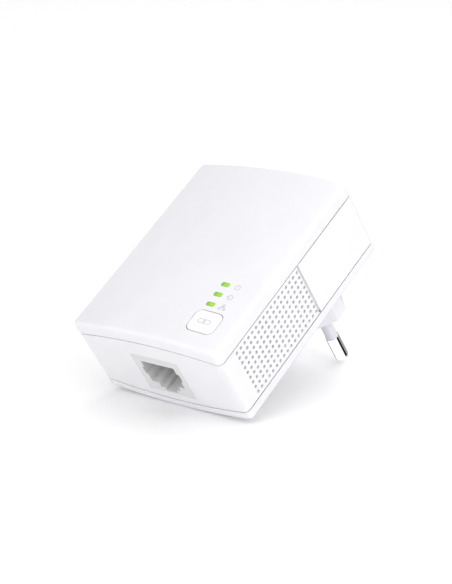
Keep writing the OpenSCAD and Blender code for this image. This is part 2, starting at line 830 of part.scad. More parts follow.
module choke_winding() at_plug() color([0.72, 0.38, 0.16]) from_power(choke_at) {
    wound_r = choke_hole_r + choke_ring_w + choke_wire;
    wound_l = choke_ring_l + 2 * choke_lift;
    difference() {
        rotate_extrude() difference() {
            translate([choke_hole_r - choke_wire, 0]) square([choke_ring_w + 2 * choke_wire, wound_l]);
            translate([choke_hole_r - close_fit, choke_lift - close_fit])
                square([choke_ring_w + 2 * close_fit, choke_ring_l + 2 * close_fit]);
        }
        translate([-wound_r - 1, -choke_split / 2, -1]) cube([2 * wound_r + 2, choke_split, wound_l + 2]);
    }
}

module coupling_core() at_plug() color([0.22, 0.22, 0.24]) {
    w = coupling_size[0];
    h = coupling_size[1];
    on_power(coupling_at, [w, coupling_base_t, w]);
    block(coupling_at, power_front_y - h, [w, coupling_top_t, w]);
    from_power(coupling_at) cylinder(r = coupling_leg_r, h = h);
}

module coupling_winding() at_plug() color([0.75, 0.42, 0.18])
    from_power(coupling_at) translate([0, 0, coupling_base_t]) rotate_extrude()
        translate([coupling_leg_r + close_fit, 0])
            square([coupling_wire, coupling_size[1] - coupling_base_t - coupling_top_t]);

// ---- Mains plug ----------------------------------------------------------

// A pin, drawn along +Z from the plug's end face
module pin_solid() {
    tail = plug_reach - power_back_y - clip_base_t - clip_clear;
    rotate_extrude() {
        translate([0, -tail]) square([pin_tail_d / 2, tail]);
        translate([0, -plug_end_t - pin_flange_t]) square([pin_flange_d / 2, pin_flange_t]);
        translate([0, -plug_end_t]) square([pin_d / 2, plug_end_t]);
        square([pin_core_d / 2, sleeve_l + 1]);
        translate([0, sleeve_l]) square([pin_d / 2, pin_l - sleeve_l - pin_tip_r]);
        square([pin_d / 2 - pin_tip_r, pin_l]);
        intersection() {
            translate([pin_d / 2 - pin_tip_r, pin_l - pin_tip_r]) circle(pin_tip_r);
            translate([0, sleeve_l]) square([pin_d, pin_l]);
        }
    }
}

module plug_pin(side) color([0.82, 0.82, 0.84]) at([side * pin_x, 0]) facing_back() pin_solid();

module pin_sleeve(side) color([0.93, 0.93, 0.95]) at([side * pin_x, 0]) facing_back() rotate_extrude()
    translate([pin_core_d / 2 + close_fit, 0])
        square([(sleeve_d - pin_core_d) / 2 - close_fit, sleeve_l]);

// Cup that grips a pin's inner end on the power board
module pin_clip(side) at_plug() color([0.85, 0.68, 0.3])
    at([side * pin_x, plug_z]) translate([0, power_back_y, 0]) facing_back() rotate_extrude() {
        square([pin_tail_d / 2 + clip_wall, clip_base_t]);
        translate([pin_tail_d / 2 + close_fit, 0]) square([clip_wall - close_fit, clip_l]);
    }

// ---- Screws --------------------------------------------------------------

module case_screws() at_plug() color([0.6, 0.6, 0.62])
    for (p = case_screw_at) at(p) translate([0, case_head_y, 0]) facing_back()
        screw(case_screw_d, case_screw_l, case_head_d);

module board_screws() at_plug() color([0.6, 0.6, 0.62])
    for (p = board_screw_at) at(p) translate([0, main_back_y, 0]) facing_back()
        screw(board_screw_d, board_screw_l, board_head_d);

front_cover();
mid_shell();
trim_band();
back_cover();
pair_button();
light_pipe();
status_led(0);  // status_led_1
status_led(1);  // status_led_2
status_led(2);  // status_led_3
pair_switch();
switch_plunger();
main_board();
power_board();
jack_housing();
jack_contacts();
lan_transformer();
powerline_chip();
thermal_pad();
heat_spreader();
memory_chip();
flash_chip();
crystal();
flyback_core();
flyback_bobbin();
flyback_coil();
bulk_capacitor();
output_capacitor();
film_capacitor();
disc_capacitor();
varistor();
fuse();
bridge_rectifier();
choke_core();
choke_winding();
coupling_core();
coupling_winding();
header_strip();
header_pins();
plug_pin(-1);  // plug_pin_left
plug_pin(1);  // plug_pin_right
pin_sleeve(-1);  // pin_sleeve_left
pin_sleeve(1);  // pin_sleeve_right
pin_clip(-1);  // pin_clip_left
pin_clip(1);  // pin_clip_right
case_screws();
board_screws();
rating_label();
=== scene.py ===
"""Looks of the powerline adapter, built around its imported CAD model.

Shapes are in millimetres and in "case" coordinates, as in the CAD source: x is across the case,
y = 0 is the front seam at the side walls and grows towards the plug, z = 0 is the bottom end.
"""
import json
import math
from collections import Counter

import bmesh
import bpy
from mathutils import Matrix, Vector
from mathutils.geometry import delaunay_2d_cdt


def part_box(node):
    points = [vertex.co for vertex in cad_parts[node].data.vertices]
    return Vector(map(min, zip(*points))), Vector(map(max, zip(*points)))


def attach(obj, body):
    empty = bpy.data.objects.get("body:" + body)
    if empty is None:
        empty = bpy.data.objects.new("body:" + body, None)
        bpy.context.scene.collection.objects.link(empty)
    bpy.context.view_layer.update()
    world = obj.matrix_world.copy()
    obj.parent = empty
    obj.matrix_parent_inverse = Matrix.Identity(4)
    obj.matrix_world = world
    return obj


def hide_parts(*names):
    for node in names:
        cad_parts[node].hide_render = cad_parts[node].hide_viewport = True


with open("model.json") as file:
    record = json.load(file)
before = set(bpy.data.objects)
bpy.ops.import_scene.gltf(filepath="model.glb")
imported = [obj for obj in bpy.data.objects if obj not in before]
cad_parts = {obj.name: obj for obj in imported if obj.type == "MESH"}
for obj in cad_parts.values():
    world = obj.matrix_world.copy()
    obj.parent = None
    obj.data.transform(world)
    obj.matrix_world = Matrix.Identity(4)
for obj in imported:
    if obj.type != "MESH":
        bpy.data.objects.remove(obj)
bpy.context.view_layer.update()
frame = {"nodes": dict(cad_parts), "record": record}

# ---- Sizes of the CAD model that its boxes don't show ----------------------------------

MM = 0.001
FACE_ARCH, BACK_ARCH = 1.9, 2.1
FRONT_RIM, BACK_RIM = 4.0, 2.9
FRONT_EDGE, BACK_EDGE = 1.25, 1.3
CORNER_R = 1.6
WALL = 1.6
SEAM_GAP = 0.35
SHELL_INSET, SHELL_INNER = 0.1, 1.9
LIP_OUTER, LIP_INNER, LIP_L = 1.7, 2.6, 1.2
BAND_T, BAND_CLEAR = 1.0, 0.03
BAND_GROOVE = 0.5
GRILLE_COLS, GRILLE_ROWS = 9, 17
GRILLE_PITCH, GRILLE_D, GRILLE_Z = 1.83, 1.0, 6.5
BUTTON_R, BUTTON_FLANGE, BUTTON_GAP, BUTTON_PROUD = 1.8, 0.7, 0.2, 0.1
LAMP_W, LAMP_H, LAMP_R, LAMP_GAP = 2.6, 1.3, 0.45, 0.02
JACK_GAP, JACK_R = 0.04, 0.1
PLUG_W, PLUG_H, PLUG_FLAT, PLUG_CHAMFER = 35.3, 13.7, 26.1, 0.8
PLUG_WALL, PLUG_END, PLUG_SHOULDER = 1.8, 4.0, 1.0
SLEEVE_STEP, PIN_GAP, PIN_TIP_R = 0.2, 0.02, 1.2
SCREW_HEAD_R, SCREW_HEAD_T = 1.9, 1.2
SCREW_RECESS_R, SCREW_HOLE_R, SCREW_SLEEVE_R, SCREW_SEAT_T = 2.05, 1.25, 2.9, 1.0
LABEL_T, LABEL_R, LABEL_GAP = 0.15, 1.5, 0.1

cover_lo, cover_hi = [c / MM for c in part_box("front_cover")]
origin = Vector((0, cover_lo.y + FRONT_RIM + FACE_ARCH, cover_lo.z))


def node_box(name):
    """A CAD node's lowest and highest corners in case coordinates."""
    return [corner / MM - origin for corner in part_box(name)]


def node_centre(name):
    """The middle of a CAD node's box in case coordinates."""
    low, high = node_box(name)
    return (low + high) / 2


body_w = cover_hi.x - cover_lo.x
body_h = cover_hi.z - cover_lo.z
half_w = body_w / 2
band_lo, band_hi = node_box("trim_band")
shell_d = band_hi.y - band_lo.y - FACE_ARCH - BACK_ARCH + 2 * SEAM_GAP
band_z = band_lo.z
plug_reach = node_box("back_cover")[1].y
plug_z = -origin.z
pin_x = node_centre("plug_pin_right").x
sleeve_lo, sleeve_hi = node_box("pin_sleeve_right")
pin_r = (sleeve_hi.x - sleeve_lo.x) / 2 + SLEEVE_STEP


# ---- Flat outlines: loops of (point, outward normal) in x and z ------------------------

def direction(angle):
    """The flat unit vector at an angle in radians."""
    return Vector((math.cos(angle), math.sin(angle)))


def round_rect(centre, w, h, r, pitch=1.5, arc_steps=8):
    """Rectangle with round corners, counter-clockwise from the right side."""
    loop = []
    for quarter in range(4):
        turn = quarter * math.pi / 2
        normal = direction(turn)
        side = direction(turn + math.pi / 2)
        out, along = ((w / 2, h - 2 * r), (h / 2, w - 2 * r))[quarter % 2]
        steps = max(1, round(along / pitch))
        for i in range(steps):
            loop.append((Vector(centre) + normal * out + side * along * (i / steps - 0.5), normal))
        corner = Vector(centre) + normal * (out - r) + side * along / 2
        for i in range(arc_steps):
            way = direction(turn + math.pi / 2 * i / arc_steps)
            loop.append((corner + way * r, way))
    return loop


def circle(centre, r, steps=24):
    """Circle, counter-clockwise from its right side."""
    ways = [direction(2 * math.pi * i / steps) for i in range(steps)]
    return [(Vector(centre) + way * r, way) for way in ways]


def plug_outline(inset):
    """The plug body's outline, drawn in by an inset: flats, slants and short ends."""
    h, l = PLUG_H / 2 - inset, PLUG_W / 2 - inset
    slant = PLUG_FLAT / 2 + PLUG_H / 2 - inset * math.sqrt(2)
    quarter = [(l, slant - l), (slant - h, h)]
    half = quarter + [(-x, z) for x, z in reversed(quarter)]
    points = half + [(-x, -z) for x, z in half]
    return [(Vector((x, z + plug_z)), Vector((x, z)).normalized()) for x, z in points]


# ---- The case's curved surfaces --------------------------------------------------------

class Arch:
    """A face bent about an axis parallel to z. It looks forwards (way -1) or backwards (way 1)."""

    def __init__(self, bulge, rim, way):
        seam_r = (half_w ** 2 + bulge ** 2) / (2 * bulge)
        self.radius = seam_r + rim
        self.axis_y = (0 if way < 0 else shell_d) - way * (seam_r - bulge)
        self.way = way

    def y(self, x, drop=0.0):
        """How far back the face is at x, or the surface that far below it."""
        return self.axis_y + self.way * math.sqrt((self.radius - drop) ** 2 - x * x)

    def point(self, flat, drop=0.0):
        """The point of the face at flat = (x, z), or that far below it."""
        return Vector((flat.x, self.y(flat.x, drop), flat.y))

    def normal(self, x, drop=0.0):
        """The outward direction there."""
        out = Vector((x, self.y(x, drop) - self.axis_y, 0))
        return out.normalized()


front_face = Arch(FACE_ARCH, FRONT_RIM, -1)
button_face = Arch(FACE_ARCH, FRONT_RIM + BUTTON_PROUD, -1)
front_seam = Arch(FACE_ARCH, 0, -1)
back_face = Arch(BACK_ARCH, BACK_RIM, 1)
back_seam = Arch(BACK_ARCH, 0, 1)

corner_arc = CORNER_R * math.pi / 2
straights = [half_w - CORNER_R, body_h - 2 * CORNER_R, body_w - 2 * CORNER_R, body_h - 2 * CORNER_R,
             half_w - CORNER_R]
perimeter = sum(straights) + 4 * corner_arc


def drawn_in(p, n, inset):
    """A point of the case's outline drawn in. Corners get sharp where the inset passes their radius."""
    q = p - n * inset
    return Vector((max(min(q.x, half_w - inset), inset - half_w), max(min(q.y, body_h - inset), inset)))


def wall_point(s, inset):
    """Point (x, z) of the case's outline, s along it clockwise from the top's middle, drawn in by inset."""
    s %= perimeter
    start = Vector((0, body_h))
    for i, length in enumerate(straights):
        normal = direction(math.pi / 2 * (1 - i))
        along = Vector((normal.y, -normal.x))
        if s <= length or i == len(straights) - 1:
            return drawn_in(start + along * s, normal, inset)
        s -= length
        centre = start + along * length - normal * CORNER_R
        if s <= corner_arc:
            way = direction(math.pi / 2 * (1 - i) - s / CORNER_R)
            return drawn_in(centre + way * CORNER_R, way, inset)
        s -= corner_arc
        start = centre + along * CORNER_R


def side_s(z):
    """How far along the outline the right side is at height z."""
    return straights[0] + corner_arc + body_h - CORNER_R - z


# ---- Solids made of an outer and an inner skin -----------------------------------------

class Skin:
    """Points given as (outer, inner) pairs, and faces that both skins share."""

    def __init__(self):
        self.outer, self.inner, self.faces = [], [], []

    def ring(self, pairs):
        """Adds pairs of points and returns their numbers."""
        first = len(self.outer)
        for outer, inner in pairs:
            self.outer.append(outer)
            self.inner.append(inner)
        return list(range(first, len(self.outer)))

    def bridge(self, rings, closed=True):
        """Quads between rings of equal length, one after the other."""
        for a, b in zip(rings, rings[1:]):
            for i in range(len(a) if closed else len(a) - 1):
                j = (i + 1) % len(a)
                self.faces.append((a[i], a[j], b[j], b[i]))

    def plate(self, outline, holes, lift, pitch=2.0, collar=0.2):
        """Fills the space between flat loops, each given as (numbers, loop)."""
        points, numbers, edges, owner = [], [], [], []
        for hole, (ring, loop) in enumerate([outline] + holes):
            first = len(points)
            points += [point for point, _ in loop]
            numbers += ring
            owner += [hole] * len(ring)
            edges += [(first + i, first + (i + 1) % len(ring)) for i in range(len(ring))]
        free = [point + normal * collar for _, loop in holes for point, normal in loop]
        free += grid_points(outline[1], [loop for _, loop in holes], pitch, 2 * collar)
        points += free
        numbers += self.ring([lift(point) for point in free])
        owner += [0] * len(free)
        inside = 1
        filled = delaunay_2d_cdt(points, edges, [], inside, 1e-5)
        source = [origins[0] for origins in filled[3]]
        for face in filled[2]:
            corners = [source[v] for v in face]
            owners = {owner[v] for v in corners}
            if len(owners) > 1 or owners == {0}:
                self.faces.append(tuple(numbers[v] for v in corners))

    def solid(self, name):
        """The closed mesh: both skins, and walls between them along every free edge."""
        count = len(self.outer)
        uses = Counter(frozenset(pair) for face in self.faces for pair in zip(face, face[1:] + face[:1]))
        free_edges = [tuple(edge) for edge, times in uses.items() if times == 1]
        walls = [(a, b, b + count, a + count) for a, b in free_edges]
        inner_faces = [tuple(v + count for v in reversed(face)) for face in self.faces]
        mesh = bpy.data.meshes.new(name)
        points = [(origin + p) * MM for p in self.outer + self.inner]
        mesh.from_pydata(points, [], self.faces + inner_faces + walls)
        work = bmesh.new()
        work.from_mesh(mesh)
        bmesh.ops.remove_doubles(work, verts=work.verts, dist=1e-8)
        bmesh.ops.recalc_face_normals(work, faces=work.faces)
        work.to_mesh(mesh)
        work.free()
        mesh.shade_smooth()
        piece = bpy.data.objects.new(name, mesh)
        bpy.context.scene.collection.objects.link(piece)
        return piece


def grid_points(loop, holes, pitch, margin):
    """Points of a square grid inside a loop, clear of its edge and of the holes."""
    def span(points):
        xs, ys = [p.x for p in points], [p.y for p in points]
        return min(xs), max(xs), min(ys), max(ys)

    edge = [point for point, _ in loop]
    x0, x1, y0, y1 = span(edge)
    blocks = [span([point for point, _ in hole]) for hole in holes]
    kept = []
    for i in range(1, int((x1 - x0) / pitch)):
        for j in range(1, int((y1 - y0) / pitch)):
            p = Vector((x0 + i * pitch, y0 + j * pitch))
            blocked = any(b[0] - margin < p.x < b[1] + margin and b[2] - margin < p.y < b[3] + margin
                          for b in blocks)
            if not blocked and min((p - q).length for q in edge) > pitch / 2:
                kept.append(p)
    return kept


# The least angle in degrees of an edge that is rounded.
SHARP_ANGLE = 35


def soften(piece, width, segments=3):
    """Rounds a piece's sharp edges and keeps its large faces flat in shading."""
    bevel = piece.modifiers.new("soft_edges", "BEVEL")
    bevel.width = width * MM
    bevel.segments = segments
    bevel.limit_method = "ANGLE"
    bevel.angle_limit = math.radians(SHARP_ANGLE)
    bevel.miter_outer = "MITER_ARC"
    normals = piece.modifiers.new("flat_faces", "WEIGHTED_NORMAL")
    normals.keep_sharp = True
    return piece


# ---- Pieces of the case ----------------------------------------------------------------

# Mesh steps round an edge, along the cut ends of the middle shell and across the band.
EDGE_STEPS, END_STEPS, BAND_STEPS = 8, 8, 6
LEAST_INNER_EDGE = 0.2
# Width of the middle shell's step behind the band, and the least distance between stations.
SHELL_STEP_W, LEAST_SPACING = 0.02, 0.3
BUTTON_WALL, BUTTON_DEPTH, BUTTON_EDGE = 0.9, 1.4, 0.3
LENS_WALL, LENS_EDGE = 0.4, 0.12


def at(flat, y):
    """The point at flat = (x, z) and depth y."""
    return Vector((flat.x, y, flat.y))


def flat_loop(skin, ring, loop):
    """A ring's outer points as a flat loop, with the normals of the loop that it was made from."""
    points = [Vector((skin.outer[v].x, skin.outer[v].z)) for v in ring]
    return ring, [(point, normal) for point, (_, normal) in zip(points, loop)]


def rim_and_edge(skin, loop, face, rim, edge, wall):
    """A cap's side wall and rounded edge. Returns the flat loop where its face starts."""
    inner_edge = max(edge - wall, LEAST_INNER_EDGE)
    rings = [skin.ring([(rim(p), rim(p - n * wall)) for p, n in loop])]
    for step in range(EDGE_STEPS + 1):
        pairs = []
        for p, n in loop:
            base = p - n * edge
            way = Vector((n.x, 0, n.y)).slerp(face.normal(base.x, edge), step / EDGE_STEPS)
            centre = face.point(base, edge)
            pairs.append((centre + way * edge, centre + way * inner_edge))
        rings.append(skin.ring(pairs))
    skin.bridge(rings)
    return flat_loop(skin, rings[-1], loop)


def face_hole(skin, face, loop, wall):
    """A hole straight through a face's wall."""
    return skin.ring([(face.point(p), face.point(p, wall)) for p, _ in loop]), loop


def case_loop():
    """The case's outline."""
    return round_rect((0, body_h / 2), body_w, body_h, CORNER_R)


def button_loop(grow):
    """The button's outline above its flange, grown by a gap."""
    low, high = node_box("pair_button")
    middle = (low + high) / 2
    return round_rect((middle.x, middle.z), high.x - low.x - 2 * BUTTON_FLANGE + 2 * grow,
                      high.z - low.z - 2 * BUTTON_FLANGE + 2 * grow, BUTTON_R + grow, pitch=0.8)


def lamp_loop(number, grow):
    """A lamp window's outline, grown by a gap."""
    middle = node_centre(f"status_led_{number}")
    return round_rect((middle.x, middle.z), LAMP_W + 2 * grow, LAMP_H + 2 * grow, LAMP_R + grow,
                      pitch=0.5, arc_steps=5)


def front_cover():
    """The domed cover, with its holes for the button and the lamps."""
    skin = Skin()
    outline = rim_and_edge(skin, case_loop(), front_face, front_seam.point, FRONT_EDGE, WALL)
    loops = [button_loop(BUTTON_GAP)] + [lamp_loop(i, LAMP_GAP) for i in (1, 2, 3)]
    holes = [face_hole(skin, front_face, loop, WALL) for loop in loops]
    skin.plate(outline, holes, lambda p: (front_face.point(p), front_face.point(p, WALL)))
    return soften(skin.solid("front_cover_shell"), width=0.12)


def pair_button():
    """The button's cap, a little proud of the cover."""
    skin = Skin()
    outline = rim_and_edge(skin, button_loop(0), button_face, lambda p: front_face.point(p, BUTTON_DEPTH),
                           BUTTON_EDGE, BUTTON_WALL)
    skin.plate(outline, [], lambda p: (button_face.point(p), button_face.point(p, BUTTON_WALL)), pitch=1.0)
    return soften(skin.solid("pair_button_cap"), width=0.08)


def lamp_lens(number):
    """A lamp's window: its face is a little domed and its edge is rounded."""
    skin = Skin()
    outline = rim_and_edge(skin, lamp_loop(number, 0), front_face, lambda p: front_face.point(p, WALL),
                           LENS_EDGE, LENS_WALL)
    skin.plate(outline, [], lambda p: (front_face.point(p), front_face.point(p, LENS_WALL)), pitch=0.5)
    return soften(skin.solid(f"status_lens_{number}"), width=0.03, segments=1)


def wall_inset(s):
    """How far the middle shell's outside stands in: it steps back behind the trim band."""
    behind_band = wall_point(s, 0).y > band_z - BAND_GROOVE
    return BAND_T + BAND_CLEAR if behind_band else SHELL_INSET


def outline_stations(s0, s1, pitch=1.5, arc_steps=8):
    """Places along the outline: even on its straights, closer together round its corners."""
    marks, s = [], -straights[-1]
    for _ in range(2):
        for length in (straights[0] + straights[-1], *straights[1:4]):
            steps = round(length / pitch)
            marks += [s + length * i / steps for i in range(steps)]
            s += length
            marks += [s + corner_arc * i / arc_steps for i in range(arc_steps)]
            s += corner_arc
    return [s0] + [m for m in marks if s0 + LEAST_SPACING < m < s1 - LEAST_SPACING] + [s1]


def seam_y(s, inset, seam):
    """Where a wall that stands in by inset ends at a seam, short of it by the gap."""
    return seam.y(wall_point(s, inset).x, SEAM_GAP)


def mid_shell():
    """The wall round the case, with both grilles, the socket's window and the tongues."""
    skin = Skin()

    def lift(p):
        inset = wall_inset(p.x)
        outer, inner = wall_point(p.x, inset), wall_point(p.x, SHELL_INNER)
        return at(outer, p.y), at(inner, p.y)

    step = side_s(band_z - BAND_GROOVE)
    stations = (outline_stations(0, step - SHELL_STEP_W)
                + outline_stations(step, perimeter - step)
                + outline_stations(perimeter - step + SHELL_STEP_W, perimeter))
    front = [Vector((s, seam_y(s, SHELL_INSET, front_seam))) for s in stations]
    back = [Vector((s, seam_y(s, SHELL_INSET, back_seam))) for s in stations]
    right_end = [front[-1].lerp(back[-1], i / END_STEPS) for i in range(1, END_STEPS)]
    left_end = [back[0].lerp(front[0], i / END_STEPS) for i in range(1, END_STEPS)]
    loop = [(p, Vector((0, 1))) for p in front + right_end + back[::-1] + left_end]
    outline = (skin.ring([lift(p) for p, _ in loop]), loop)
    grille_y = (shell_d - (GRILLE_COLS - 1) * GRILLE_PITCH) / 2
    loops = []
    for col in range(GRILLE_COLS):
        for row in range(GRILLE_ROWS):
            s = side_s(GRILLE_Z + row * GRILLE_PITCH)
            for place in (s, perimeter - s):
                loops.append(circle((place, grille_y + col * GRILLE_PITCH), GRILLE_D / 2, steps=20))
    low, high = node_box("jack_housing")
    loops.append(round_rect((perimeter / 2, (low.y + high.y) / 2), high.x - low.x + 2 * JACK_GAP,
                            high.y - low.y + 2 * JACK_GAP, JACK_R))
    holes = [(skin.ring([lift(p) for p, _ in hole]), hole) for hole in loops]
    skin.plate(outline, holes, lift, pitch=1.6, collar=0.16)
    add_tongue(skin, front_seam, -1)
    add_tongue(skin, back_seam, 1)
    return soften(skin.solid("mid_shell_wall"), width=0.06, segments=2)


def add_tongue(skin, seam, way):
    """The tongue that reaches from the middle shell into a cover."""
    rings = []
    for reach in (-2 * LIP_L, LIP_L):
        pairs = []
        for p, n in case_loop():
            outer, inner = drawn_in(p, n, LIP_OUTER), drawn_in(p, n, LIP_INNER)
            shift = Vector((0, way * reach, 0))
            pairs.append((seam.point(outer) + shift, seam.point(inner) + shift))
        rings.append(skin.ring(pairs))
    skin.bridge(rings)


def trim_band():
    """The plain band over the top end and down both sides."""
    skin = Skin()
    rings = []
    reach = side_s(band_z)
    for s in outline_stations(-reach, reach):
        outer, inner = wall_point(s, 0), wall_point(s, BAND_T)
        y0, y1 = seam_y(s, 0, front_seam), seam_y(s, 0, back_seam)
        ys = [y0 + (y1 - y0) * i / BAND_STEPS for i in range(BAND_STEPS + 1)]
        rings.append(skin.ring([(at(outer, y), at(inner, y)) for y in ys]))
    skin.bridge(rings, closed=False)
    return soften(skin.solid("trim_band_strip"), width=0.18)


def screw_recess(skin, place, head_y):
    """Sleeve and seat of a case screw, sunk into the back face. Returns its hole in the face."""
    mouth = circle(place, SCREW_RECESS_R)
    pairs = [(p, q) for (p, _), (q, _) in zip(mouth, circle(place, SCREW_SLEEVE_R))]
    hole = [p for p, _ in circle(place, SCREW_HOLE_R)]
    seat_y = head_y - SCREW_SEAT_T
    rings = [skin.ring([(back_face.point(p), back_face.point(q, WALL)) for p, q in pairs]),
             skin.ring([(at(p, head_y), at(q, seat_y)) for p, q in pairs]),
             skin.ring([(at(p, head_y), at(p, seat_y)) for p in hole])]
    skin.bridge(rings)
    return rings[0], mouth


def label_recess(skin):
    """The shallow recess that the label lies in. Returns its outline in the face."""
    low, high = node_box("rating_label")
    middle = (low + high) / 2
    loop = round_rect((middle.x, middle.z), high.x - low.x + 2 * LABEL_GAP, high.z - low.z + 2 * LABEL_GAP,
                      LABEL_R + LABEL_GAP)
    rings = [skin.ring([(back_face.point(p, drop), back_face.point(p + n * drop, WALL)) for p, n in loop])
             for drop in (0, LABEL_T)]
    skin.bridge(rings)
    skin.plate((rings[1], loop), [], lambda p: (back_face.point(p, LABEL_T), back_face.point(p, WALL)))
    return rings[0], loop


def plug_body(skin):
    """The plug body on the back face, with its chamfered end wall. Returns its outline in the face."""
    outer, end, inner = plug_outline(0), plug_outline(PLUG_CHAMFER), plug_outline(PLUG_WALL)
    inside_y = plug_reach - PLUG_END
    chamfer_y, shoulder_y = plug_reach - PLUG_CHAMFER, inside_y - PLUG_SHOULDER

    def end_wall(p):
        return at(p, plug_reach), at(p, inside_y)

    sides = [(p, q) for (p, _), (q, _) in zip(outer, inner)]
    rings = [skin.ring([(back_face.point(p), back_face.point(q, WALL)) for p, q in sides]),
             skin.ring([(at(p, chamfer_y), at(q, shoulder_y)) for p, q in sides]),
             skin.ring([(at(p, plug_reach), at(q, inside_y)) for (p, _), (q, _) in zip(end, inner)])]
    skin.bridge(rings)
    holes = []
    for x in (-pin_x, pin_x):
        loop = circle((x, plug_z), pin_r + PIN_GAP, steps=32)
        holes.append((skin.ring([end_wall(p) for p, _ in loop]), loop))
    skin.plate((rings[2], end), holes, end_wall, pitch=3.0)
    return rings[0], outer


def back_cover():
    """The back, with the plug body, four screw recesses and the label's recess."""
    skin = Skin()
    outline = rim_and_edge(skin, case_loop(), back_face, back_seam.point, BACK_EDGE, WALL)
    low, high = node_box("case_screws")
    head_y = high.y - SCREW_HEAD_T
    places = [(x, z) for x in (low.x + SCREW_HEAD_R, high.x - SCREW_HEAD_R)
              for z in (low.z + SCREW_HEAD_R, high.z - SCREW_HEAD_R)]
    holes = [screw_recess(skin, place, head_y) for place in places]
    holes += [label_recess(skin), plug_body(skin)]
    skin.plate(outline, holes, lambda p: (back_face.point(p), back_face.point(p, WALL)))
    return soften(skin.solid("back_cover_shell"), width=0.15)


# ---- Printed symbols -------------------------------------------------------------------

INK_T = 0.012
INK_LINE = 0.18
SYMBOL_GAP = 4.0


def arc_points(centre, r, start, end, steps=20):
    """Points of an arc, its angles in degrees."""
    return [Vector(centre) + direction(math.radians(start + (end - start) * i / steps)) * r
            for i in range(steps + 1)]


def box_points(centre, w, h, r):
    """Closed path round a rectangle with round corners."""
    loop = [point for point, _ in round_rect(centre, w, h, r, arc_steps=4)]
    return loop + loop[:1]


POWER_SYMBOL = [arc_points((0, 0), 0.78, 125, 415), [Vector((0, 0.25)), Vector((0, 1.0))]]
HOME_SYMBOL = [[Vector(p) for p in ((-1.0, 0.0), (0, 0.85), (1.0, 0.0))],
               [Vector(p) for p in ((-0.68, 0.1), (-0.68, -0.8), (0.68, -0.8), (0.68, 0.1))],
               [Vector(p) for p in ((0, -0.8), (0, -0.25))]]
NETWORK_SYMBOL = [box_points((0, 0.6), 0.62, 0.55, 0.1), box_points((-0.72, -0.6), 0.62, 0.55, 0.1),
                  box_points((0.72, -0.6), 0.62, 0.55, 0.1), [Vector((0, 0.32)), Vector((0, 0))],
                  [Vector(p) for p in ((-0.72, -0.32), (-0.72, 0), (0.72, 0), (0.72, -0.32))]]
LINK_SYMBOL = [box_points((-0.85, 0), 2.2, 1.3, 0.65), box_points((0.85, 0), 2.2, 1.3, 0.65)]


def printed_symbol(name, strokes, centre, surface):
    """A symbol drawn with even lines, as a film of ink that lies on a curved face."""
    skin = Skin()
    for stroke in strokes:
        points = [p + centre for p in stroke]
        closed = (points[0] - points[-1]).length < 1e-6
        sides = ([], [])
        for i, p in enumerate(points):
            before = points[i - 1] if i else (points[-2] if closed else p)
            after = points[i + 1] if i < len(points) - 1 else (points[1] if closed else p)
            along = (after - before).normalized()
            across = Vector((-along.y, along.x)) * INK_LINE / 2
            for side, q in zip(sides, (p + across, p - across)):
                side.append((surface.point(q, -INK_T), surface.point(q, INK_T)))
        skin.bridge([skin.ring(side) for side in sides], closed=False)
    return skin.solid(name)


# ---- Materials -------------------------------------------------------------------------

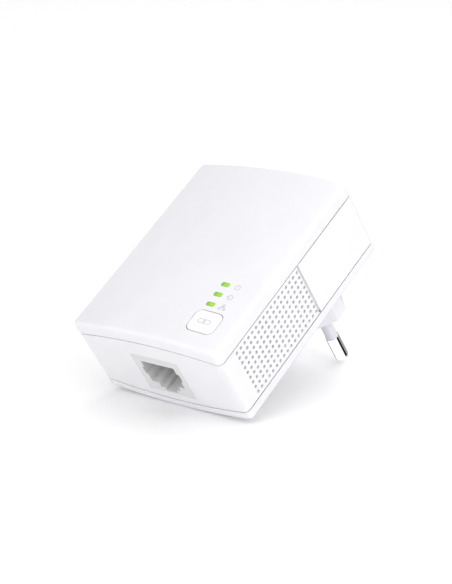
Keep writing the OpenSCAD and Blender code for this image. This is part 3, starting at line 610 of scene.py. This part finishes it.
class Finish:
    """A procedural material: a Principled shader whose colour, roughness and bump vary over the surface."""

    def __init__(self, name, colour, roughness, metallic=0.0, **settings):
        self.material = bpy.data.materials.new(name)
        self.material.use_nodes = True
        self.tree = self.material.node_tree
        self.shader = self.tree.nodes["Principled BSDF"]
        self.set("Base Color", (*colour, 1))
        self.set("Roughness", roughness)
        self.set("Metallic", metallic)
        for socket, value in settings.items():
            self.set(socket.replace("_", " "), value)
        self.base, self.rough = colour, roughness
        self.place = self.add("ShaderNodeTexCoord").outputs["Object"]

    def set(self, socket, value):
        """Sets a value of the shader."""
        self.shader.inputs[socket].default_value = value

    def add(self, kind, **values):
        """A new node, with its settings and the values of its sockets."""
        node = self.tree.nodes.new(kind)
        for key, value in values.items():
            if hasattr(node, key):
                setattr(node, key, value)
            else:
                node.inputs[key.replace("_", " ")].default_value = value
        return node

    def link(self, start, end):
        """Joins an output to an input."""
        self.tree.links.new(start, end)

    def noise(self, size, stretch=(1, 1, 1), detail=3.0, roughness=0.55):
        """Noise whose features are about size millimetres across."""
        mapping = self.add("ShaderNodeMapping")
        mapping.inputs["Scale"].default_value = Vector(stretch)
        self.link(self.place, mapping.inputs["Vector"])
        noise = self.add("ShaderNodeTexNoise", Scale=1 / (size * MM), Detail=detail, Roughness=roughness)
        self.link(mapping.outputs["Vector"], noise.inputs["Vector"])
        return noise.outputs["Fac"]

    def ramp(self, value, low, high, first=0.35, last=0.65):
        """Turns a texture value into a colour between low and high."""
        ramp = self.add("ShaderNodeValToRGB")
        ramp.color_ramp.elements[0].position, ramp.color_ramp.elements[1].position = first, last
        ramp.color_ramp.elements[0].color = (*low, 1)
        ramp.color_ramp.elements[1].color = (*high, 1)
        self.link(value, ramp.inputs["Fac"])
        return ramp.outputs["Color"]

    def tint(self, value, amount, first=0.35, last=0.65):
        """Varies the base colour by a share either way."""
        low = [c * (1 - amount) for c in self.base]
        high = [min(1.0, c * (1 + amount)) for c in self.base]
        self.link(self.ramp(value, low, high, first, last), self.shader.inputs["Base Color"])
        return self

    def wear(self, value, amount):
        """Varies the roughness by a share either way."""
        spread = self.add("ShaderNodeMapRange")
        spread.inputs["To Min"].default_value = self.rough * (1 - amount)
        spread.inputs["To Max"].default_value = min(1.0, self.rough * (1 + amount))
        self.link(value, spread.inputs["Value"])
        self.link(spread.outputs["Result"], self.shader.inputs["Roughness"])
        return self

    def bump(self, value, depth):
        """Raises the surface by up to depth millimetres."""
        bump = self.add("ShaderNodeBump", Distance=depth * MM, Strength=1.0)
        self.link(value, bump.inputs["Height"])
        last = self.shader.inputs["Normal"]
        if last.is_linked:
            self.link(last.links[0].from_socket, bump.inputs["Normal"])
        self.link(bump.outputs["Normal"], last)
        return self

    def stripes(self, pitch, axis, distortion):
        """Bands that repeat every pitch millimetres along an axis."""
        wave = self.add("ShaderNodeTexWave", bands_direction=axis, Scale=math.pi / 10 / (pitch * MM),
                        Distortion=distortion)
        self.link(self.place, wave.inputs["Vector"])
        return wave.outputs["Fac"]

    def cells(self, size):
        """Cells about size millimetres across: the distance to their edges."""
        cells = self.add("ShaderNodeTexVoronoi", feature="DISTANCE_TO_EDGE", Scale=1 / (size * MM))
        self.link(self.place, cells.inputs["Vector"])
        return cells.outputs["Distance"]


def moulded(name, colour, roughness, grain=0.25, depth=0.004, **settings):
    """Injection-moulded plastic: a fine eroded grain, slow flow marks and slight unevenness."""
    finish = Finish(name, colour, roughness, **settings)
    finish.tint(finish.noise(9.0, detail=2.0), 0.012)
    finish.wear(finish.noise(1.3), 0.12)
    finish.bump(finish.noise(6.0, detail=1.0), depth * 2)
    finish.bump(finish.noise(grain, detail=2.0), depth)
    return finish.material


def metal(name, colour, roughness, stretch=(1, 1, 1), grain=0.3, depth=0.002):
    """Plated or drawn metal with fine marks along one way."""
    finish = Finish(name, colour, roughness, metallic=1.0)
    marks = finish.noise(grain, stretch=stretch, detail=4.0)
    finish.tint(finish.noise(2.0), 0.05).wear(marks, 0.35).bump(marks, depth)
    return finish.material


# Where a lamp's window is brightest, in shares of its box.
LENS_BRIGHT_SPOT = Vector((0.7, 0.5, 0.5))


def lit_lens(name, colour, edge_colour, glow):
    """Tinted window lit from behind: brightest beside its lamp, deeper green towards the rim."""
    finish = Finish(name, colour, 0.25, Coat_Weight=0.4)
    box_place = finish.add("ShaderNodeTexCoord").outputs["Generated"]
    centred = finish.add("ShaderNodeMapping")
    centred.inputs["Location"].default_value = -LENS_BRIGHT_SPOT
    finish.link(box_place, centred.inputs["Vector"])
    fade = finish.add("ShaderNodeTexGradient", gradient_type="SPHERICAL")
    finish.link(centred.outputs["Vector"], fade.inputs["Vector"])
    tone = finish.ramp(fade.outputs["Fac"], edge_colour, colour, 0.25, 0.75)
    finish.link(tone, finish.shader.inputs["Base Color"])
    finish.bump(finish.noise(0.35), 0.004)
    finish.set("Emission Color", (*glow, 1))
    finish.set("Emission Strength", 0.25)
    return finish.material


def circuit_board(name, colour):
    """Solder mask over copper: lighter runs of track, tinned pads and the weave of the glass."""
    finish = Finish(name, colour, 0.3, Coat_Weight=0.3)
    track = finish.cells(2.4)
    light = [min(1.0, c * 1.9 + 0.01) for c in colour]
    finish.link(finish.ramp(track, light, colour, 0.04, 0.06), finish.shader.inputs["Base Color"])
    finish.bump(track, 0.03)
    finish.bump(finish.stripes(0.5, "X", distortion=0.4), 0.004)
    finish.wear(finish.noise(0.7), 0.2)
    return finish.material


def wound(name, colour, pitch, axis, metallic=0.0, roughness=0.35):
    """Turns of wire or tape: ridges at the wire's own pitch, with painted shade in the grooves and painted
    highlight on the crests.
    """
    finish = Finish(name, colour, roughness, metallic=metallic)
    ridges_and_shade = finish.stripes(pitch, axis, distortion=0.15)
    # The colour follows the ridges: painted shade in the grooves between turns, painted highlight on their
    # crests.
    finish.tint(ridges_and_shade, 0.18, 0.1, 0.9).bump(ridges_and_shade, pitch * 0.25)
    finish.wear(finish.noise(0.6), 0.2)
    return finish.material


def speckled(name, colour, roughness, grain=0.15, amount=0.15, depth=0.008, **settings):
    """Matt moulded epoxy, sintered ferrite or ceramic: a granular surface."""
    finish = Finish(name, colour, roughness, **settings)
    grains = finish.noise(grain, detail=5.0, roughness=0.7)
    finish.tint(grains, amount).bump(grains, depth).wear(finish.noise(0.9), 0.1)
    return finish.material


def printed_label(name, colour):
    """Blank satin film with a faint coating texture."""
    finish = Finish(name, colour, 0.38, Coat_Weight=0.15)
    finish.tint(finish.noise(0.12, stretch=(1, 1, 8)), 0.025)
    finish.bump(finish.noise(0.4), 0.003)
    finish.wear(finish.noise(3.0), 0.15)
    return finish.material


WHITE = (0.71, 0.71, 0.735)
materials = {
    "cover_white": moulded("cover_white", WHITE, 0.34),
    "shell_white": moulded("shell_white", (0.71, 0.71, 0.73), 0.42),
    "band_white": moulded("band_white", (0.76, 0.76, 0.77), 0.22, depth=0.002, Coat_Weight=0.3),
    "button_white": moulded("button_white", (0.78, 0.78, 0.785), 0.36),
    "lamp_green": lit_lens("lamp_green", (0.42, 0.60, 0.04), (0.10, 0.36, 0.03), (0.22, 0.42, 0.03)),
    "led_chip": moulded("led_chip", (0.80, 0.75, 0.40), 0.35, grain=0.1),
    "switch_black": speckled("switch_black", (0.03, 0.03, 0.033), 0.5),
    "plunger_plastic": speckled("plunger_plastic", (0.05, 0.05, 0.05), 0.45),
    "board_green": circuit_board("board_green", (0.012, 0.09, 0.035)),
    "jack_grey": speckled("jack_grey", (0.60, 0.605, 0.61), 0.5, grain=0.2, amount=0.03, depth=0.004),
    "contact_gold": metal("contact_gold", (0.83, 0.62, 0.25), 0.22, stretch=(1, 1, 0.1)),
    "chip_black": speckled("chip_black", (0.02, 0.02, 0.022), 0.55, grain=0.1),
    "pad_grey": speckled("pad_grey", (0.30, 0.36, 0.45), 0.7, grain=0.3),
    "spreader_alu": metal("spreader_alu", (0.75, 0.76, 0.78), 0.32, stretch=(0.05, 1, 1)),
    "crystal_can": metal("crystal_can", (0.72, 0.72, 0.75), 0.25),
    "ferrite": speckled("ferrite", (0.04, 0.04, 0.045), 0.62, grain=0.25, amount=0.25),
    "coil_tape": wound("coil_tape", (0.75, 0.52, 0.06), 1.2, "Y"),
    "can_sleeve": moulded("can_sleeve", (0.015, 0.03, 0.09), 0.28, grain=0.5, Coat_Weight=0.5),
    "film_case": moulded("film_case", (0.60, 0.45, 0.10), 0.35, grain=0.4),
    "disc_blue": speckled("disc_blue", (0.02, 0.09, 0.30), 0.3, grain=0.6, amount=0.08, Coat_Weight=0.4),
    "varistor_coat": speckled("varistor_coat", (0.35, 0.10, 0.02), 0.3, grain=0.6, amount=0.1,
                              Coat_Weight=0.4),
    "fuse_body": speckled("fuse_body", (0.72, 0.68, 0.58), 0.4, grain=0.3, amount=0.06),
    "winding_copper": wound("winding_copper", (0.72, 0.32, 0.12), 0.5, "Y", metallic=1.0, roughness=0.3),
    "pin_metal": metal("pin_metal", (0.93, 0.93, 0.94), 0.07, stretch=(1, 0.06, 1), depth=0.0006),
    "sleeve_white": moulded("sleeve_white", (0.64, 0.63, 0.68), 0.42, grain=0.15),
    "clip_brass": metal("clip_brass", (0.78, 0.57, 0.22), 0.28),
    "screw_steel": metal("screw_steel", (0.58, 0.58, 0.61), 0.3, grain=0.2),
    "label_silver": printed_label("label_silver", (0.60, 0.61, 0.63)),
    "ink_grey": speckled("ink_grey", (0.44, 0.44, 0.46), 0.5, grain=0.1, amount=0.04, depth=0.001),
}

slot_of = {part["node"]: part["material_slot"] for part in frame["record"]["subparts"]}
for name, node in frame["nodes"].items():
    node.data.materials.clear()
    node.data.materials.append(materials[slot_of[name]])


def fit(piece, body, slot, *replaced, material=None):
    """Gives a piece its finish and its body, and hides the CAD nodes that it stands for."""
    piece.data.materials.append(materials[material or slot])
    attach(piece, body)
    if replaced:
        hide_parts(*replaced)
    return piece


fit(front_cover(), "adapter", "cover_white", "front_cover")
fit(mid_shell(), "adapter", "shell_white", "mid_shell")
fit(trim_band(), "adapter", "band_white", "trim_band")
fit(back_cover(), "adapter", "cover_white", "back_cover")
fit(pair_button(), "button", "button_white", "pair_button")
for lamp in (1, 2, 3):
    fit(lamp_lens(lamp), "adapter", "lamp_green", "light_pipe")

lamp_symbols = {"symbol_network": NETWORK_SYMBOL, "symbol_home": HOME_SYMBOL, "symbol_power": POWER_SYMBOL}
for lamp, (name, strokes) in enumerate(lamp_symbols.items(), start=1):
    middle = node_centre(f"status_led_{lamp}")
    symbol = printed_symbol(name, strokes, Vector((middle.x + SYMBOL_GAP, middle.z)), front_face)
    fit(symbol, "adapter", "cover_white", material="ink_grey")
middle = node_centre("pair_button")
fit(printed_symbol("symbol_link", LINK_SYMBOL, Vector((middle.x, middle.z)), button_face),
    "button", "button_white", material="ink_grey")

# ---- Floor: the adapter leans on its back edge and the tips of its pins ----------------

pin_low, pin_high = node_box("plug_pin_right")
edge_centre = Vector((back_face.y(0) - BACK_EDGE, BACK_EDGE))
tip_centre = Vector((pin_high.y - PIN_TIP_R, pin_low.z + PIN_TIP_R))
lean = (tip_centre - edge_centre).normalized()
floor_up = Vector((0, -lean.y, lean.x))
floor_along = Vector((0, lean.x, lean.y))
floor_side = Vector((1, 0, 0))
touch = Vector((0, edge_centre.x, edge_centre.y)) - floor_up * BACK_EDGE
floor_origin = (origin + touch) * MM
STUDIO = Matrix((floor_side, floor_along, floor_up)).transposed().to_4x4()


def studio(x, y, z):
    """A place in metres from where the case's back edge touches the floor: right, behind, up."""
    return floor_origin + STUDIO @ Vector((x, y, z))


def floor():
    """A pale round sweep, seen from above only, so that views from below look through it."""
    radius, rings, sides = 4.0, 12, 64
    points = [studio(0, 0, 0)]
    for ring in range(1, rings + 1):
        r = radius * (ring / rings) ** 2
        points += [studio(r * math.cos(a), r * math.sin(a), 0)
                   for a in (2 * math.pi * i / sides for i in range(sides))]
    faces = [(0, 1 + i, 1 + (i + 1) % sides) for i in range(sides)]
    for ring in range(rings - 1):
        a, b = 1 + ring * sides, 1 + (ring + 1) * sides
        faces += [(a + i, b + i, b + (i + 1) % sides, a + (i + 1) % sides) for i in range(sides)]
    mesh = bpy.data.meshes.new("studio_floor")
    mesh.from_pydata(points, [], faces)
    piece = bpy.data.objects.new("studio_floor", mesh)
    bpy.context.scene.collection.objects.link(piece)
    finish = Finish("floor_white", (0.93, 0.93, 0.935), 0.6)
    finish.tint(finish.noise(400.0), 0.004)
    finish.bump(finish.noise(3.0), 0.01)
    clear = finish.add("ShaderNodeBsdfTransparent")
    side = finish.add("ShaderNodeNewGeometry")
    mix = finish.add("ShaderNodeMixShader")
    finish.link(side.outputs["Backfacing"], mix.inputs["Fac"])
    finish.link(finish.shader.outputs["BSDF"], mix.inputs[1])
    finish.link(clear.outputs["BSDF"], mix.inputs[2])
    finish.link(mix.outputs["Shader"], finish.tree.nodes["Material Output"].inputs["Surface"])
    mesh.materials.append(finish.material)
    piece.visible_glossy = False


floor()

# ---- Light and camera ------------------------------------------------------------------

# The studio place that the lights are aimed at, and the strength of the even light from all round.
LIT_POINT = (0, 0.02, 0.04)
SKY = 1.18
# Direction, half angle in degrees, and the share of the sky's light that is left there.
DARK_CARDS = [((0.66, 0.70, -0.26), 17, 0.0), ((-0.10, 0.98, -0.10), 30, 0.3),
              ((-0.86, 0.46, -0.30), 22, 0.15), ((-0.80, 0.0, 0.60), 27, 0.2)]
# The camera's direction over the floor in degrees, its distance in metres and its lens in millimetres.
CAMERA_AZIMUTH, CAMERA_HEIGHT, CAMERA_ROLL = -48.2, 14.49, -1.4
CAMERA_DISTANCE = 0.4638
CAMERA_LENS = 104.4
# The point that it looks at, in case coordinates.
LOOK_AT = (0, 10.0, 31.35)


def softbox(name, place, size, power):
    """A square area light at a studio place, aimed at the case."""
    data = bpy.data.lights.new(name, "AREA")
    data.shape = "SQUARE"
    data.size = size
    data.energy = power
    light = bpy.data.objects.new(name, data)
    light.location = studio(*place)
    aim = studio(*LIT_POINT) - light.location
    light.rotation_euler = aim.to_track_quat("-Z", "Y").to_euler()
    bpy.context.scene.collection.objects.link(light)


softbox("key_right", (0.78, -0.20, 0.40), size=0.6, power=2.4)
softbox("fill_low_front", (0.05, -0.95, 0.10), size=0.5, power=1.7)
softbox("top_behind", (-0.10, 0.50, 0.90), size=0.7, power=1.2)


def dark_card(tree, before, toward, half_angle, shade):
    """Darkens the sky in one direction, like a black card beside the set. Returns what is left."""
    way = (STUDIO @ Vector(toward)).normalized()
    place = tree.nodes.new("ShaderNodeTexCoord")
    facing = tree.nodes.new("ShaderNodeVectorMath")
    facing.operation = "DOT_PRODUCT"
    facing.inputs[1].default_value = way
    edge = tree.nodes.new("ShaderNodeMapRange")
    edge.interpolation_type = "SMOOTHSTEP"
    edge.inputs["From Min"].default_value = math.cos(math.radians(half_angle * 1.25))
    edge.inputs["From Max"].default_value = math.cos(math.radians(half_angle * 0.8))
    edge.inputs["To Min"].default_value = 1.0
    edge.inputs["To Max"].default_value = shade
    product = tree.nodes.new("ShaderNodeMath")
    product.operation = "MULTIPLY"
    product.inputs[1].default_value = SKY
    tree.links.new(place.outputs["Generated"], facing.inputs[0])
    tree.links.new(facing.outputs["Value"], edge.inputs["Value"])
    tree.links.new(edge.outputs["Result"], product.inputs[0])
    if before:
        tree.links.new(before, product.inputs[1])
    return product.outputs["Value"]


world = bpy.data.worlds.new("studio_world")
world.use_nodes = True
light = None
for card in DARK_CARDS:
    light = dark_card(world.node_tree, light, *card)
backdrop = world.node_tree.nodes["Background"].inputs
backdrop["Color"].default_value = (1, 1, 1, 1)
world.node_tree.links.new(light, backdrop["Strength"])
bpy.context.scene.world = world
bpy.context.scene.view_settings.view_transform = "Standard"

azimuth, height = math.radians(CAMERA_AZIMUTH), math.radians(CAMERA_HEIGHT)
away = STUDIO @ Vector((math.cos(azimuth) * math.cos(height), math.sin(azimuth) * math.cos(height),
                        math.sin(height)))
look_at = (origin + Vector(LOOK_AT)) * MM
camera = bpy.data.objects.new("camera", bpy.data.cameras.new("camera"))
camera.data.lens = CAMERA_LENS
camera.location = look_at + away * CAMERA_DISTANCE
view = (-away).to_track_quat("-Z", "Y").to_matrix()
up_now = view @ Vector((0, 1, 0))
floor_image = floor_up - away * floor_up.dot(away)
turn = up_now.angle(floor_image)
if up_now.cross(floor_image).dot(away) < 0:
    turn = -turn
roll = turn + math.radians(CAMERA_ROLL)
camera.rotation_euler = (Matrix.Rotation(roll, 3, away) @ view).to_euler()
camera.data.clip_start = 0.01
bpy.context.scene.collection.objects.link(camera)
bpy.context.scene.camera = camera
